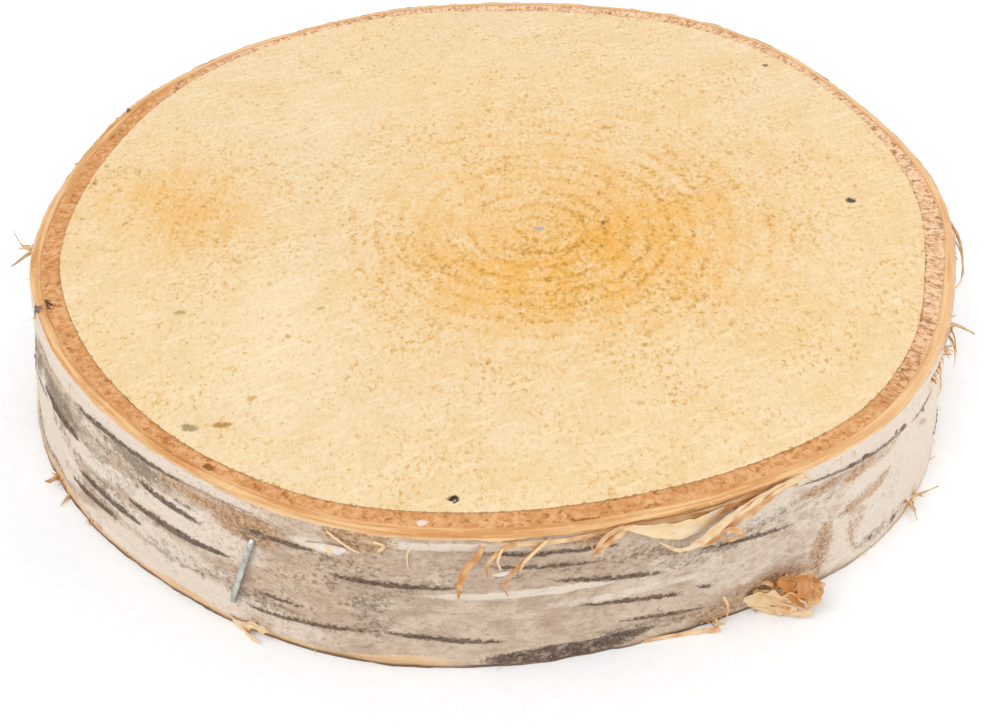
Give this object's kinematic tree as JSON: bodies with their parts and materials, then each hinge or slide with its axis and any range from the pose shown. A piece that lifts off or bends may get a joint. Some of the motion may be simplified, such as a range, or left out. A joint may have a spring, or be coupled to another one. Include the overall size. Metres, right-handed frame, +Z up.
{
  "type": "birch wood slice",
  "caption": "Round slice sawn across a small birch log, with pale wood, a ring of inner bark, papery outer bark with torn peels, and a wire staple through the bark.",
  "frame": {"origin": "centre of the overall box, on the sawn underside that the slice lies on", "axes": "+Z up through the thickness, +X to the right in the picture, -Y to the front, where the bark is torn"},
  "size_m": [0.1364, 0.1377, 0.022],
  "materials": {
    "birch_wood": "sawn end grain, dry and unfinished",
    "inner_bark": "sawn corky bark, granular and dry",
    "outer_bark": "papery birch bark, dull satin, with dark lenticels",
    "staple_steel": "galvanised wire"
  },
  "bodies": {
    "root": {"wood": "birch_wood", "inner_bark": "inner_bark", "outer_bark": "outer_bark", "staple": "staple_steel"}
  },
  "joints": []
}
